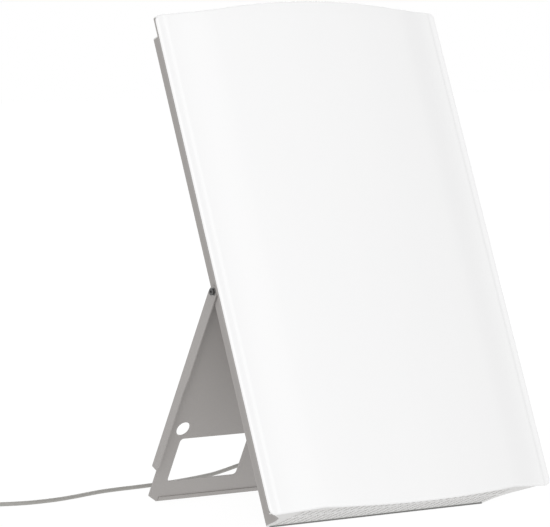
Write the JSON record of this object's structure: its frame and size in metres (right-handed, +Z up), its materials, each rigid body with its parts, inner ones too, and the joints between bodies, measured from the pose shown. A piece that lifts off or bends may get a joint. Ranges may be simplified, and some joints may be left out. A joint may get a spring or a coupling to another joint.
{
  "type": "light therapy lamp",
  "caption": "Table light therapy lamp: bowed opal front panel on a slim flared metal housing, leaning back on a folding sheet stand, with a mains cord.",
  "frame": {"origin": "centre of the lamp's footprint on the table, under the panel and stand, the cord left out", "axes": "+Z up the way it stands, +Y from the lit front to the back, +X to the right as seen from the front"},
  "size_m": [0.6406, 0.4544, 0.5541],
  "materials": {
    "opal_acrylic": "satin opal",
    "painted_sheet": "satin warm grey powder coat",
    "vent_sheet": "satin light grey powder coat",
    "reflector_sheet": "white reflecting coat",
    "opal_glass": "white coated glass",
    "white_plastic": "moulded",
    "black_rubber": "matt",
    "black_plastic": "moulded",
    "grey_plastic": "moulded",
    "foam_tape": "adhesive foam",
    "plated_steel": "zinc plated",
    "cord_sheath": "satin"
  },
  "bodies": {
    "lamp": {"diffuser": "opal_acrylic", "edge_tape": "foam_tape", "rear_housing": "painted_sheet", "top_end_plate": "vent_sheet", "bottom_end_plate": "vent_sheet", "end_plate_screws": "plated_steel", "foot_strip": "black_rubber", "reflector": "reflector_sheet", "tube_glass": "opal_glass", "tube_bases": "white_plastic", "lamp_holders": "white_plastic", "tube_clips": "white_plastic", "ballast": "plated_steel", "ballast_screws": "plated_steel", "terminal_block": "white_plastic", "strain_relief": "grey_plastic", "switch_bezel": "black_plastic", "pivot_nuts": "plated_steel", "pivot_spacers": "plated_steel", "pivot_screws": "plated_steel", "pivot_washers": "plated_steel", "cord_run": "cord_sheath", "cord_coil": "cord_sheath", "coil_tie": "black_plastic", "plug_body": "grey_plastic", "plug_pins": "plated_steel"},
    "stand": {"stand_plate": "painted_sheet", "stand_edge_strip": "painted_sheet"},
    "rocker": {"switch_rocker": "black_plastic"}
  },
  "joints": [
    {"name": "stand_fold", "type": "hinge", "parent": "lamp", "child": "stand", "pos_m": [0, 0.01956, 0.24369], "axis": [1, 0, 0], "range_deg": [-49, 8]},
    {"name": "switch_rock", "type": "hinge", "parent": "lamp", "child": "rocker", "pos_m": [0.062, 0.05168, 0.30677], "axis": [1, 0, 0], "range_deg": [-16, 0]}
  ]
}
